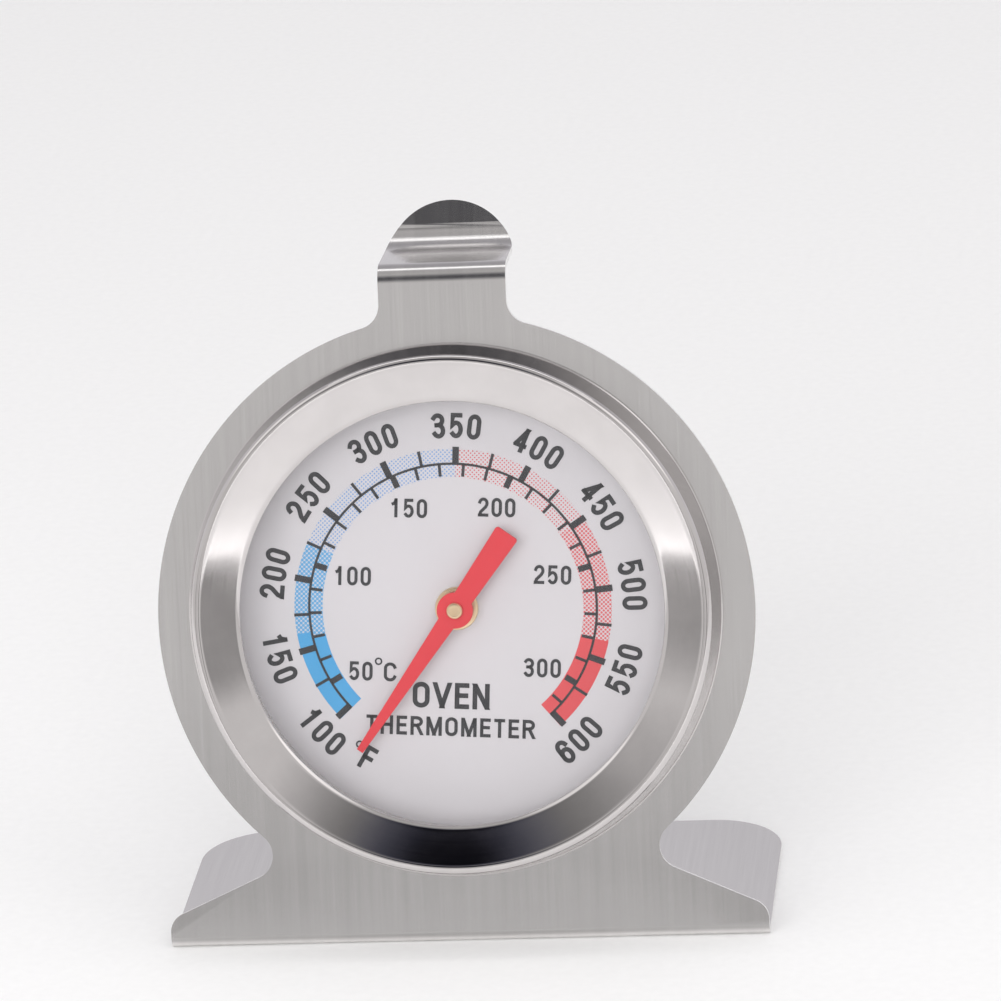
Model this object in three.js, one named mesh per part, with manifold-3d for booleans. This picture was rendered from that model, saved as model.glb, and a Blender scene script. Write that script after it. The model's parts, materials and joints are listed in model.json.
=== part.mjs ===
// Oven thermometer: a bimetal dial thermometer on a bent steel stand that also hooks onto an oven rack.
// Millimetres, +Z up. The origin is on the foot's underside, midway between the part's sides, front and back.
// X runs to the right of the dial and +Y runs backwards. The face leans back, so its parts sit in a group
// with its own axes: x to the right, y up along the face and z out of the face, from the dial's axis at the
// front surface of the stand's face plate.
import * as THREE from 'three';
import { mergeVertices } from 'three/addons/utils/BufferGeometryUtils.js';
import Module from 'manifold-3d';

const wasm = await Module();
wasm.setup();

const degrees = THREE.MathUtils.degToRad;

// Driving dimensions.
const sheet = 0.6; // the stand's steel sheet
const lean = degrees(13.1); // the face leans back from upright
const axisHeight = 33.5; // dial axis to the foot's front edge, along the face
const footWidth = 60;
const footDepth = 29.8;
const discRadius = 29.8;
const discDrop = 0.4; // the face plate's centre below the dial axis
const hookWidth = 12.7;
const hookDepth = 10.3;
const hookTop = 40.1; // top of the hook's tip above the dial axis, along the face
const bezelRadius = 26.6;
const crestHeight = 4.63; // the bezel's crest in front of the face plate
const windowRadius = 21.3;
const dialDepth = 1.55; // the dial behind the face plate's front surface
const caseDepth = 8.4; // the back of the case behind the same surface
const staffRadius = 0.7;
const needleReach = 17.1;
const needleRest = degrees(233.8); // the needle's direction at 25 degrees Celsius
const gap = 0.03; // between pieces that touch
const runningGap = 0.05; // radial clearance of the staff in its bearings

// Segments round the large rings and round the small turned pieces.
const ringSegments = 56;
const smallSegments = 24;
const ventSegments = 14;

// Materials.
function steelFinish(color, roughness) {
  return new THREE.MeshStandardMaterial({ color, roughness, metalness: 1 });
}
const brushedSteel = steelFinish(0xb7b2b0, 0.35);
const polishedSteel = steelFinish(0xdedcdb, 0.08);
const caseSteel = steelFinish(0xb4b3b2, 0.3);
const innerSteel = steelFinish(0xa7a8a9, 0.4);
const brass = steelFinish(0xe1b482, 0.25);
const bimetal = steelFinish(0xa39a8e, 0.35);
const glass = new THREE.MeshStandardMaterial({
  color: 0xf4f7f8,
  roughness: 0.03,
  metalness: 0,
  transparent: true,
  opacity: 0.2,
});
const dialPaint = new THREE.MeshStandardMaterial({ color: 0xcfcfd4, roughness: 0.45, metalness: 0.3 });
const needlePaint = new THREE.MeshStandardMaterial({ color: 0xe84b55, roughness: 0.4, metalness: 0 });
const gasketFibre = new THREE.MeshStandardMaterial({ color: 0x5a5653, roughness: 0.9, metalness: 0 });

// Solids and booleans.
function solidFrom(geometry) {
  geometry.deleteAttribute('normal');
  geometry.deleteAttribute('uv');
  const merged = mergeVertices(geometry, 1e-4);
  const corners = merged.index.array;
  const kept = [];
  for (let i = 0; i < corners.length; i += 3) {
    const [a, b, c] = corners.slice(i, i + 3);
    if (a !== b && b !== c && c !== a) kept.push(a, b, c);
  }
  return new wasm.Manifold(
    new wasm.Mesh({
      numProp: 3,
      vertProperties: merged.attributes.position.array,
      triVerts: new Uint32Array(kept),
    }),
  );
}

function geometryFrom(solid) {
  const mesh = solid.getMesh();
  const geometry = new THREE.BufferGeometry();
  geometry.setAttribute('position', new THREE.BufferAttribute(mesh.vertProperties, 3));
  geometry.setIndex(new THREE.BufferAttribute(mesh.triVerts, 1));
  geometry.computeVertexNormals();
  return geometry;
}

function drilled(geometry, ...drills) {
  return geometryFrom(drills.reduce((solid, drill) => solid.subtract(solidFrom(drill)), solidFrom(geometry)));
}

// A turned piece round the face's z axis, from its section as [radius, z] points in either direction.
function turned(section, segments = smallSegments) {
  const points = section.map(([radius, z]) => new THREE.Vector2(radius, z));
  if (THREE.ShapeUtils.area(points) < 0) points.reverse();
  const open = section[0][0] === 0;
  if (!open) points.push(points[0].clone());
  return new THREE.LatheGeometry(points, segments).rotateX(Math.PI / 2);
}

// A ring of rectangular section between two radii and two heights.
function plainRing(inner, outer, low, high, segments = smallSegments) {
  return turned([[inner, low], [outer, low], [outer, high], [inner, high]], segments);
}

function rod(radius, low, high, segments = smallSegments) {
  const length = high - low;
  const geometry = new THREE.CylinderGeometry(radius, radius, length, segments).rotateX(Math.PI / 2);
  return geometry.translate(0, 0, (low + high) / 2);
}

function plate(shape, low, high, curveSegments = 10) {
  const settings = { depth: high - low, bevelEnabled: false, curveSegments };
  return new THREE.ExtrudeGeometry(shape, settings).translate(0, 0, low);
}

function arcPoints(centreX, centreY, radius, from, to, steps) {
  const points = [];
  for (let i = 0; i <= steps; i += 1) {
    const angle = from + ((to - from) * i) / steps;
    points.push([centreX + radius * Math.cos(angle), centreY + radius * Math.sin(angle)]);
  }
  return points;
}

// The face's frame, seen from the fold line where the face's front surface meets the foot's underside.
const right = new THREE.Vector3(1, 0, 0);
const upFace = new THREE.Vector3(0, Math.sin(lean), Math.cos(lean));
const outOfFace = new THREE.Vector3(0, -Math.cos(lean), Math.sin(lean));
const faceFromFold = new THREE.Matrix4()
  .makeBasis(right, upFace, outOfFace)
  .setPosition(upFace.clone().multiplyScalar(axisHeight));

// The stand: one sheet, folded at the foot and twice at the hook.
const foldInside = 0.4; // inside bend radius at the foot
const hookFirstInside = 1.3; // bend from the tab to the ledge
const hookSecondInside = 3.2; // bend from the ledge to the tip
const ledgeHeight = 34.5; // end of the first bend above the dial axis, along the face
const ledgeRise = degrees(9); // the ledge rises towards the tip, against the face's normal
const tipLean = degrees(14); // the tip leans back from the face
const openingRadius = 24.45;

// Walks along the sheet's outer surface, from heading to heading, and returns the sheet's section.
function bentSection(start, heading, steps) {
  const outer = [];
  const inner = [];
  let place = start.clone();
  let way = heading;
  const mark = () => {
    outer.push(place.clone());
    inner.push(place.clone().add(new THREE.Vector2(Math.sin(way), -Math.cos(way)).multiplyScalar(sheet)));
  };
  mark();
  for (const { line, turn, inside } of steps) {
    if (line !== undefined) {
      place.add(new THREE.Vector2(Math.cos(way), Math.sin(way)).multiplyScalar(line));
      mark();
      continue;
    }
    const side = Math.sign(turn);
    const radius = side < 0 ? inside + sheet : inside;
    const centre = new THREE.Vector2(-Math.sin(way), Math.cos(way)).multiplyScalar(side * radius).add(place);
    const bendSteps = 8;
    for (let i = 1; i <= bendSteps; i += 1) {
      place = place.clone().rotateAround(centre, turn / bendSteps);
      way += turn / bendSteps;
      mark();
    }
  }
  return new THREE.Shape([...outer, ...inner.reverse()]);
}

// The whole section from the foot's rear edge to above the tip, with the fold line at the origin.
function standSection() {
  const foldTurn = Math.PI / 2 + lean;
  const foldReach = (foldInside + sheet) * Math.tan(foldTurn / 2);
  const hookTurn = Math.PI / 2 - ledgeRise;
  const firstRadius = hookFirstInside + sheet;
  const firstReach = firstRadius * (1 - Math.cos(hookTurn));
  const faceLine = axisHeight + ledgeHeight - firstRadius * Math.sin(hookTurn) - foldReach;
  const secondReach = hookSecondInside * (Math.cos(tipLean) - Math.cos(hookTurn));
  const secondRise = hookSecondInside * (Math.sin(hookTurn) - Math.sin(tipLean));
  const straightReach = hookDepth - firstReach - secondReach;
  const straightRise = hookTop - ledgeHeight - secondRise;
  const ledgeAlongReach = straightReach * Math.cos(tipLean) - straightRise * Math.sin(tipLean);
  const ledgeLine = ledgeAlongReach / Math.cos(ledgeRise + tipLean);
  return bentSection(new THREE.Vector2(footDepth, 0), Math.PI, [
    { line: footDepth - foldReach },
    { turn: -foldTurn, inside: foldInside },
    { line: faceLine },
    { turn: -hookTurn, inside: hookFirstInside },
    { line: ledgeLine },
    { turn: hookTurn - tipLean, inside: hookSecondInside },
    { line: hookTop },
  ]);
}

// The face plate's outline: foot shoulders, notches, disc, fillets, tab and round tip.
function faceOutline() {
  const half = footWidth / 2;
  const shoulderSlope = degrees(24);
  const shoulderHeight = -30.4; // where the sloping shoulder would meet the foot's side
  const cornerRadius = 2;
  const notchRadius = 2.4;
  const filletRadius = 2.4;
  const tabHalf = hookWidth / 2;

  const cornerDrop = cornerRadius * Math.tan((Math.PI / 2 - shoulderSlope) / 2);
  const corner = {
    x: half - cornerRadius,
    y: shoulderHeight - cornerDrop,
    radius: cornerRadius,
    from: 0,
    to: Math.PI / 2 - shoulderSlope,
  };

  // The notch's centre is one radius above the shoulder's line and outside the disc.
  const reach = discRadius + notchRadius;
  const lineX = half + notchRadius * Math.sin(shoulderSlope);
  const lineY = shoulderHeight + notchRadius * Math.cos(shoulderSlope) + discDrop;
  const alongX = -Math.cos(shoulderSlope);
  const alongY = Math.sin(shoulderSlope);
  const middle = lineX * alongX + lineY * alongY;
  const along = -middle - Math.sqrt(middle ** 2 - (lineX ** 2 + lineY ** 2 - reach ** 2));
  const notchX = lineX + along * alongX;
  const notchY = lineY + along * alongY - discDrop;
  const notchOnDisc = Math.atan2(notchY + discDrop, notchX);
  const notch = {
    x: notchX,
    y: notchY,
    radius: notchRadius,
    from: -Math.PI / 2 - shoulderSlope,
    to: notchOnDisc - Math.PI,
    clockwise: true,
  };

  const filletX = tabHalf + filletRadius;
  const filletHeight = Math.sqrt((discRadius + filletRadius) ** 2 - filletX ** 2);
  const filletOnDisc = Math.atan2(filletHeight, filletX);
  const disc = { x: 0, y: -discDrop, radius: discRadius, from: notchOnDisc, to: filletOnDisc };
  const fillet = {
    x: filletX,
    y: filletHeight - discDrop,
    radius: filletRadius,
    from: filletOnDisc + Math.PI,
    to: Math.PI,
    clockwise: true,
  };
  const tip = { x: 0, y: hookTop - tabHalf, radius: tabHalf, from: 0, to: Math.PI / 2 };

  const rightSide = [corner, notch, disc, fillet, tip];
  const leftSide = rightSide.toReversed().map((arc) => ({
    ...arc,
    x: -arc.x,
    from: Math.PI - arc.to,
    to: Math.PI - arc.from,
  }));
  const shape = new THREE.Shape();
  const belowFold = -axisHeight - 1;
  shape.moveTo(half, belowFold);
  shape.lineTo(half, corner.y);
  for (const arc of [...rightSide, ...leftSide]) {
    shape.absarc(arc.x, arc.y, arc.radius, arc.from, arc.to, arc.clockwise ?? false);
  }
  shape.lineTo(-half, belowFold);
  return shape;
}

function footOutline() {
  const half = footWidth / 2;
  const rearRadius = 7.5;
  const front = -2;
  const shape = new THREE.Shape();
  shape.moveTo(-half, front);
  shape.lineTo(half, front);
  shape.absarc(half - rearRadius, footDepth - rearRadius, rearRadius, 0, Math.PI / 2);
  shape.absarc(-half + rearRadius, footDepth - rearRadius, rearRadius, Math.PI / 2, Math.PI);
  return shape;
}

function standGeometry() {
  const sideMargin = 1;
  const sectionToFold = new THREE.Matrix4().makeBasis(
    new THREE.Vector3(0, 1, 0),
    new THREE.Vector3(0, 0, 1),
    new THREE.Vector3(1, 0, 0),
  );
  const half = footWidth / 2 + sideMargin;
  const strip = solidFrom(plate(standSection(), -half, half).applyMatrix4(sectionToFold));
  const behindHook = -hookDepth - 2 * sheet;
  const facePrism = solidFrom(plate(faceOutline(), behindHook, 1).applyMatrix4(faceFromFold));
  const footPrism = solidFrom(plate(footOutline(), -1, 2 * sheet));
  const opening = solidFrom(rod(openingRadius, -2, 2, ringSegments).applyMatrix4(faceFromFold));
  return geometryFrom(strip.intersect(facePrism.add(footPrism)).subtract(opening));
}

// The case's stack of pieces, as heights in the face's frame.
const caseSteelThickness = 0.4;
const caseRadius = 24.2;
const lowerCaseRadius = 22.2;
const dialTop = -dialDepth;
const dialThickness = 0.5;
const dialBack = dialTop - dialThickness;
const dialRadius = caseRadius - caseSteelThickness - 0.3;
const lensThickness = 2;
const lipThickness = 0.32;
const lipTop = 3.6;
const lensTop = lipTop - lipThickness - gap;
const lensBottom = lensTop - lensThickness;
const gasketThickness = 0.3;
const gasketBottom = lensBottom - gap - gasketThickness;
const floorBack = -caseDepth;
const floorFront = floorBack + caseSteelThickness;

// The bezel: a wall that leans in from the face plate, a round crest, and a funnel down to the lens.
const crestRadius = 0.62;
const crestCentre = [bezelRadius - 1.3, crestHeight - crestRadius];
function bezelGeometry() {
  const wall = 0.45;
  const crest = arcPoints(...crestCentre, crestRadius, degrees(5), degrees(105), 7);
  const underCrest = arcPoints(...crestCentre, crestRadius - wall, degrees(105), degrees(5), 3);
  return turned(
    [
      [bezelRadius, gap],
      ...crest,
      [windowRadius, lipTop],
      [windowRadius - 0.1, lipTop - lipThickness / 2],
      [windowRadius, lipTop - lipThickness],
      ...underCrest,
      [bezelRadius - wall, gap],
    ],
    ringSegments,
  );
}

// The case: a stepped cup whose flange rests on the face plate under the bezel, with vents in its floor.
const rivetOffset = 13;
const rivetRadius = 0.8;
function caseGeometry() {
  const flangeRadius = bezelRadius - 0.9;
  const floorCorner = 1.4;
  const innerCorner = floorCorner - caseSteelThickness;
  const cornerX = lowerCaseRadius - floorCorner;
  const cornerZ = floorBack + floorCorner;
  const ledge = dialBack - gap;
  const cup = turned(
    [
      [0, floorBack],
      ...arcPoints(cornerX, cornerZ, floorCorner, -Math.PI / 2, 0, 4),
      [lowerCaseRadius, ledge - caseSteelThickness],
      [caseRadius, ledge - caseSteelThickness],
      [caseRadius, gap],
      [flangeRadius, gap],
      [flangeRadius, gap + caseSteelThickness],
      [caseRadius - caseSteelThickness, gap + caseSteelThickness],
      [caseRadius - caseSteelThickness, ledge],
      [lowerCaseRadius - caseSteelThickness, ledge],
      ...arcPoints(cornerX, cornerZ, innerCorner, 0, -Math.PI / 2, 4),
      [0, floorFront],
    ],
    ringSegments,
  );
  const drills = [-1, 1].map((side) => {
    const hole = rod(rivetRadius + gap, floorBack - 1, floorFront + 1);
    return hole.translate(side * rivetOffset, 0, 0);
  });
  const vents = 8;
  const ventCircle = 16.5;
  const ventRadius = 1.6;
  for (let i = 0; i < vents; i += 1) {
    const angle = ((i + 0.5) / vents) * 2 * Math.PI;
    const vent = rod(ventRadius, floorBack - 1, floorFront + 1, ventSegments);
    drills.push(vent.translate(ventCircle * Math.cos(angle), ventCircle * Math.sin(angle), 0));
  }
  return drilled(cup, ...drills);
}

// Push-on ring behind the face plate, gripping the case's wall.
function clampGeometry() {
  const outer = caseRadius + 2.6;
  const inner = caseRadius + gap;
  const front = -sheet - gap;
  const back = front - 0.5;
  const rimThickness = 0.4;
  const rimReach = 0.4;
  const bendReach = 0.3;
  return turned(
    [
      [inner, front],
      [outer, front],
      [outer, back],
      [inner + rimThickness + bendReach, back],
      [inner + rimThickness, back - rimReach],
      [inner, back - rimReach],
    ],
    ringSegments,
  );
}

const lensGeometry = () => rod(bezelRadius - 2.6, lensBottom, lensTop, ringSegments);
const gasketGeometry = () =>
  plainRing(windowRadius + 0.3, dialRadius, gasketBottom, gasketBottom + gasketThickness, ringSegments);
const spacerGeometry = () =>
  plainRing(windowRadius + 0.5, dialRadius, dialTop + gap, gasketBottom - gap, ringSegments);

// The dial's bush: a collar over the dial, a neck through it and a riveted rim behind it.
const bushNeck = 1.5;
const collarTop = dialTop + gap + 0.5;
const dialGeometry = () => plainRing(bushNeck + gap, dialRadius, dialBack, dialTop, ringSegments);
function bushGeometry() {
  const bore = staffRadius + runningGap;
  const collarRadius = 2.15;
  const rimRadius = 2;
  const rimThickness = 0.45;
  return turned([
    [bore, collarTop],
    [collarRadius, collarTop],
    [collarRadius, dialTop + gap],
    [bushNeck, dialTop + gap],
    [bushNeck, dialBack - gap],
    [rimRadius, dialBack - gap],
    [rimRadius, dialBack - gap - rimThickness],
    [bore, dialBack - gap - rimThickness],
  ]);
}

// The pointer's heights and the staff that carries it.
const needleThickness = 0.35;
const needleBottom = 0.15;
const needleTop = needleBottom + needleThickness;
const staffHead = 0.45;
const bridgeThickness = 0.5;
const spacerHeight = 1;
const bridgeBack = floorFront + spacerHeight;
const bridgeFront = bridgeBack + bridgeThickness;
const bearingFlange = 0.45;
const clipThickness = 0.25;
const clipFront = bridgeBack - gap - bearingFlange - gap;
const staffEnd = clipFront - clipThickness - 0.08;

// The needle: a tapering tip, a round eye and a tail that widens to a square end.
function needleGeometry() {
  const eyeRadius = 1.8;
  const tipHalf = 0.35;
  const tipRootHalf = 0.9;
  const tailReach = 9.4;
  const tailHalf = 1.25;
  const tailRootHalf = 1;
  const tipAngle = Math.asin(tipRootHalf / eyeRadius);
  const tailAngle = Math.PI - Math.asin(tailRootHalf / eyeRadius);
  const shape = new THREE.Shape();
  shape.moveTo(needleReach, -tipHalf);
  shape.lineTo(needleReach, tipHalf);
  shape.absarc(0, 0, eyeRadius, tipAngle, tailAngle);
  shape.lineTo(-tailReach, tailHalf);
  shape.lineTo(-tailReach, -tailHalf);
  shape.absarc(0, 0, eyeRadius, -tailAngle, -tipAngle);
  const eye = new THREE.Path().absarc(0, 0, staffRadius + gap, 0, 2 * Math.PI, true);
  shape.holes.push(eye);
  return plate(shape, needleBottom, needleTop);
}

const hubGeometry = () =>
  plainRing(staffRadius + gap, 1.2, collarTop + runningGap, needleBottom - gap);

function staffGeometry() {
  const headRadius = 0.8;
  const headBase = needleTop + gap;
  return turned([
    [0, staffEnd],
    [staffRadius - 0.1, staffEnd],
    [staffRadius, staffEnd + 0.1],
    [staffRadius, headBase],
    [headRadius, headBase],
    [headRadius, headBase + staffHead / 2],
    [headRadius / 2, headBase + staffHead],
    [0, headBase + staffHead],
  ]);
}

const clipGeometry = () => plainRing(staffRadius + gap, 1.3, clipFront - clipThickness, clipFront);

// The bimetal spiral and what holds its two ends.
const stripThickness = 0.35;
const stripBack = bridgeFront + 0.6;
const stripFront = dialBack - 1;
const spiralTurns = 5;
const spiralEnd = 9;
const spiralStart = 1.75;
const collarGeometry = () =>
  plainRing(staffRadius + gap, spiralStart - stripThickness / 2 - gap, stripBack, stripFront);

const anchorFace = spiralEnd + stripThickness / 2 + gap;
const anchorThickness = 0.5;
const coilRivetRadius = 0.35;
const coilRivetHeight = (stripBack + stripFront) / 2;

function coilRivetHole() {
  const hole = rod(coilRivetRadius + gap, -1, 1).rotateY(Math.PI / 2);
  return hole.translate(anchorFace, 0, coilRivetHeight);
}

function coilGeometry() {
  const stepsPerTurn = 24;
  const tailSteps = 1;
  const steps = spiralTurns * stepsPerTurn + tailSteps;
  const outer = [];
  const inner = [];
  for (let i = 0; i <= steps; i += 1) {
    const turnsMade = i / stepsPerTurn;
    const angle = 2 * Math.PI * turnsMade;
    const radius = spiralStart + ((spiralEnd - spiralStart) * Math.min(turnsMade, spiralTurns)) / spiralTurns;
    const direction = new THREE.Vector2(Math.cos(angle), Math.sin(angle));
    outer.push(direction.clone().multiplyScalar(radius + stripThickness / 2));
    inner.push(direction.clone().multiplyScalar(radius - stripThickness / 2));
  }
  const shape = new THREE.Shape([...outer, ...inner.reverse()]);
  return drilled(plate(shape, stripBack, stripFront), coilRivetHole());
}

// An L-shaped bracket: a foot on the bridge and a leg beside the spiral's outer end.
function anchorGeometry() {
  const footReach = 1.9;
  const width = 2.4;
  const base = bridgeFront + gap;
  const section = new THREE.Shape();
  section.moveTo(anchorFace, base);
  section.lineTo(anchorFace + footReach, base);
  section.lineTo(anchorFace + footReach, base + anchorThickness);
  section.lineTo(anchorFace + anchorThickness, base + anchorThickness);
  section.lineTo(anchorFace + anchorThickness, stripFront);
  section.lineTo(anchorFace, stripFront);
  const bracket = plate(section, -width / 2, width / 2).rotateX(Math.PI / 2);
  return drilled(bracket, coilRivetHole());
}

// A rivet along the face's z axis: head, shank and a smaller head.
function rivetSection(radius, headRadius, headHeight, low, high) {
  return [
    [0, low - headHeight],
    [headRadius * 0.7, low - headHeight],
    [headRadius, low - headHeight / 3],
    [headRadius, low],
    [radius, low],
    [radius, high],
    [headRadius * 0.9, high],
    [headRadius * 0.7, high + headHeight * 0.7],
    [0, high + headHeight * 0.7],
  ];
}

function coilRivetGeometry() {
  const curveRoom = 0.2; // the strip curves away from the rivet's flat head
  const low = -stripThickness - curveRoom;
  const high = anchorThickness + gap;
  const rivet = turned(rivetSection(coilRivetRadius, 0.6, 0.3, low, high));
  return rivet.rotateY(Math.PI / 2).translate(anchorFace, 0, coilRivetHeight);
}

// The bridge across the case's floor, with its bearing, spacers and rivets.
function bridgeGeometry() {
  const half = 2.5;
  const shape = new THREE.Shape();
  shape.absarc(rivetOffset, 0, half, -Math.PI / 2, Math.PI / 2);
  shape.absarc(-rivetOffset, 0, half, Math.PI / 2, (3 * Math.PI) / 2);
  const bearingHole = new THREE.Path().absarc(0, 0, bushNeck + gap, 0, 2 * Math.PI, true);
  const rivetHoles = [-1, 1].map((side) =>
    new THREE.Path().absarc(side * rivetOffset, 0, rivetRadius + gap, 0, 2 * Math.PI, true),
  );
  shape.holes.push(bearingHole, ...rivetHoles);
  return plate(shape, bridgeBack, bridgeFront);
}

function bearingGeometry() {
  const bore = staffRadius + runningGap;
  const flangeRadius = 2.1;
  const neckRadius = bushNeck - gap;
  const flangeFront = bridgeBack - gap;
  return turned([
    [bore, bridgeFront + gap],
    [neckRadius, bridgeFront + gap],
    [neckRadius, flangeFront],
    [flangeRadius, flangeFront],
    [flangeRadius, flangeFront - bearingFlange],
    [bore, flangeFront - bearingFlange],
  ]);
}

const bridgeSpacerGeometry = () => plainRing(rivetRadius + gap, 1.8, floorFront + gap, bridgeBack - gap);
const bridgeRivetGeometry = () =>
  turned(rivetSection(rivetRadius, 1.6, 0.5, floorBack - gap, bridgeFront + gap));

// Assembly. The fold line's depth puts the origin midway between the bezel's crest and the foot's rear edge.
const crestFront = crestCentre[0] * Math.sin(lean) + crestCentre[1] * Math.cos(lean) + crestRadius;
const foldToAxis = axisHeight * Math.sin(lean);
const foldDepth = (crestFront - foldToAxis - footDepth) / 2;

function part(name, geometry, material, x = 0) {
  const mesh = new THREE.Mesh(geometry, material);
  mesh.name = name;
  mesh.position.x = x;
  return mesh;
}

const stand = part('stand', standGeometry(), brushedSteel);
stand.position.y = foldDepth;

const face = new THREE.Group();
face.rotation.x = Math.PI / 2 - lean;
face.position.set(0, foldDepth + foldToAxis, axisHeight * Math.cos(lean));
face.add(
  part('bezel_ring', bezelGeometry(), polishedSteel),
  part('glass_lens', lensGeometry(), glass),
  part('lens_gasket', gasketGeometry(), gasketFibre),
  part('spacer_ring', spacerGeometry(), innerSteel),
  part('dial_plate', dialGeometry(), dialPaint),
  part('dial_bush', bushGeometry(), brass),
  part('back_case', caseGeometry(), caseSteel),
  part('clamp_ring', clampGeometry(), caseSteel),
  part('bimetal_coil', coilGeometry(), bimetal),
  part('coil_anchor', anchorGeometry(), innerSteel),
  part('coil_rivet', coilRivetGeometry(), innerSteel),
  part('bridge', bridgeGeometry(), innerSteel),
  part('rear_bearing', bearingGeometry(), brass),
);
for (const [side, direction] of [['left', -1], ['right', 1]]) {
  face.add(
    part(`bridge_spacer_${side}`, bridgeSpacerGeometry(), innerSteel, direction * rivetOffset),
    part(`bridge_rivet_${side}`, bridgeRivetGeometry(), caseSteel, direction * rivetOffset),
  );
}

// What turns with the needle.
const turning = new THREE.Group();
turning.rotation.z = needleRest;
turning.add(
  part('pointer', needleGeometry(), needlePaint),
  part('pointer_hub', hubGeometry(), brass),
  part('staff', staffGeometry(), brass),
  part('coil_collet', collarGeometry(), brass),
  part('staff_clip', clipGeometry(), innerSteel),
);
face.add(turning);

const group = new THREE.Group();
group.add(stand, face);
export default group;
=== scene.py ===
import json
import math

import bmesh
import bpy
from mathutils import Matrix, Vector


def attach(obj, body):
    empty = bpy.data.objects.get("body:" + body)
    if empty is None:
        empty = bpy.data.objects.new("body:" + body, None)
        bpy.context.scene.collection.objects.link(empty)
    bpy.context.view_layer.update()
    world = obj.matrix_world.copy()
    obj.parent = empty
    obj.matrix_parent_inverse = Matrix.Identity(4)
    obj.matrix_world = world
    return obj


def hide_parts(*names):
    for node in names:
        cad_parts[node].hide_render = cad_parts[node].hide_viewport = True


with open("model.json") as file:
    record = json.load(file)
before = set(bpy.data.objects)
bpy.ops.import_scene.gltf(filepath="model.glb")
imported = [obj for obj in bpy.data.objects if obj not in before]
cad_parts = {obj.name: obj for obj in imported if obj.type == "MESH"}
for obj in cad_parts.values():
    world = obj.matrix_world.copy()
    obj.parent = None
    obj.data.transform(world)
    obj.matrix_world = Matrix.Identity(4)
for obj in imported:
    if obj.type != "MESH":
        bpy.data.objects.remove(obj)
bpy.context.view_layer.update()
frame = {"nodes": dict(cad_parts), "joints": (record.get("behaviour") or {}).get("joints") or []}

# Oven thermometer. Sizes are in millimetres unless a comment says otherwise, and MM turns them into metres.
MM = 0.001

# The face's own frame comes from the needle's joint: x to the right, y up the face, z out of the face, with
# its origin on the dial's axis at the front surface of the face plate.
spin = frame["joints"][0]
OUT = -Vector(spin["axis"]).normalized()
RIGHT = Vector((1, 0, 0))
UP = OUT.cross(RIGHT)
FACE = Matrix.Translation(spin["pos_m"]) @ Matrix((RIGHT, UP, OUT)).transposed().to_4x4()
LEAN = math.asin(OUT.z)

# Driving sizes of the stand.
SHEET = 0.6
EDGE_ROUNDING = 0.13
AXIS_HEIGHT = 33.5
FOOT_HALF = 30.0
FOOT_DEPTH = 29.8
FOOT_REAR_RADIUS = 7.5
DISC_RADIUS = 29.8
DISC_DROP = 0.4
TAB_HALF = 6.35
OPENING_RADIUS = 24.45
SHOULDER_SLOPE = math.radians(24)
SHOULDER_HEIGHT = -30.4
CORNER_RADIUS = 2.0
NOTCH_RADIUS = 2.4
FILLET_RADIUS = 2.4
FOLD_INSIDE = 0.4
HOOK_FIRST_INSIDE = 1.3
HOOK_SECOND_INSIDE = 3.2
LEDGE_HEIGHT = 34.5
LEDGE_RISE = math.radians(9)
TIP_LEAN = math.radians(14)
HOOK_DEPTH = 10.3
HOOK_TOP = 40.1

# Driving sizes of the dial's housing, as radii and as heights in the face's frame.
BEZEL_RADIUS = 26.6
CREST_HEIGHT = 4.63
CREST_ROUNDING = 0.62
CREST_INSET = 1.4
WINDOW_RADIUS = 21.3
LIP_OVERHANG = 0.2
LIP_EDGE_HEIGHT = 3.41
LENS_TOP = 3.24
LENS_BOTTOM = 1.25
DIAL_TOP = -1.55
DIAL_BACK = -2.05
DIAL_RADIUS = 23.45
CASE_RADIUS = 24.2
LOWER_CASE_RADIUS = 22.2
CASE_WALL = 0.4
CASE_BACK = -8.4
RIVET_OFFSET = 13.0
RIVET_RADIUS = 0.8
STAFF_RADIUS = 0.7
BORE_RADIUS = 0.75
GAP = 0.03

# The print on the dial.
PRINT_SHIFT = (-0.42, 0.06)
PRINT_TURN = math.radians(-3.5)
INK_THICKNESS = 0.02
SCALE_START_F = 100
SCALE_END_F = 600
SCALE_START_ANGLE = math.radians(225)
SCALE_SWEEP = math.radians(270)
ARC_RADIUS = 14.38
NEEDLE_REST = math.radians(233.8)

# The camera stands in front of the dial, a little to its right and above it.
CAMERA_AZIMUTH = math.radians(6.615)
CAMERA_ELEVATION = math.radians(18.95)
CAMERA_ROLL = math.radians(-3.905)
CAMERA_DISTANCE = 643.0
CAMERA_LENS = 233.3
AIM_RIGHT = 4.485
AIM_UP = 10.86


# ---------------------------------------------------------------- materials

DIAL_COLOR = (0.535, 0.505, 0.525)
BLUE_INK = (0.05, 0.29, 0.56)
PALE_BLUE_INK = (0.16, 0.3, 0.56)
RED_INK = (0.58, 0.055, 0.065)
DARK_INK = (0.018, 0.017, 0.021)
GLASS_INDEX = 1.45
PAINT_GRAIN = 5200
SUM_RANGE = (0.7, 1.3)  # where most of the sum of two noises lies
BLANK_MAP_SCALE = 0.01  # units of the stand's UV map for each millimetre of the flat blank


def add(tree, kind, inputs=None, **settings):
    """Adds a node; inputs are values, or sockets to link from."""
    made = tree.nodes.new(kind)
    for key, value in settings.items():
        setattr(made, key, value)
    for key, value in (inputs or {}).items():
        if isinstance(value, bpy.types.NodeSocket):
            tree.links.new(value, made.inputs[key])
        else:
            made.inputs[key].default_value = value
    return made


def blank_material(name):
    """A material with a Principled shader and nothing else, and its node tree and shader."""
    material = bpy.data.materials.new(name)
    material.use_nodes = True
    return material, material.node_tree, material.node_tree.nodes["Principled BSDF"]


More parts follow.
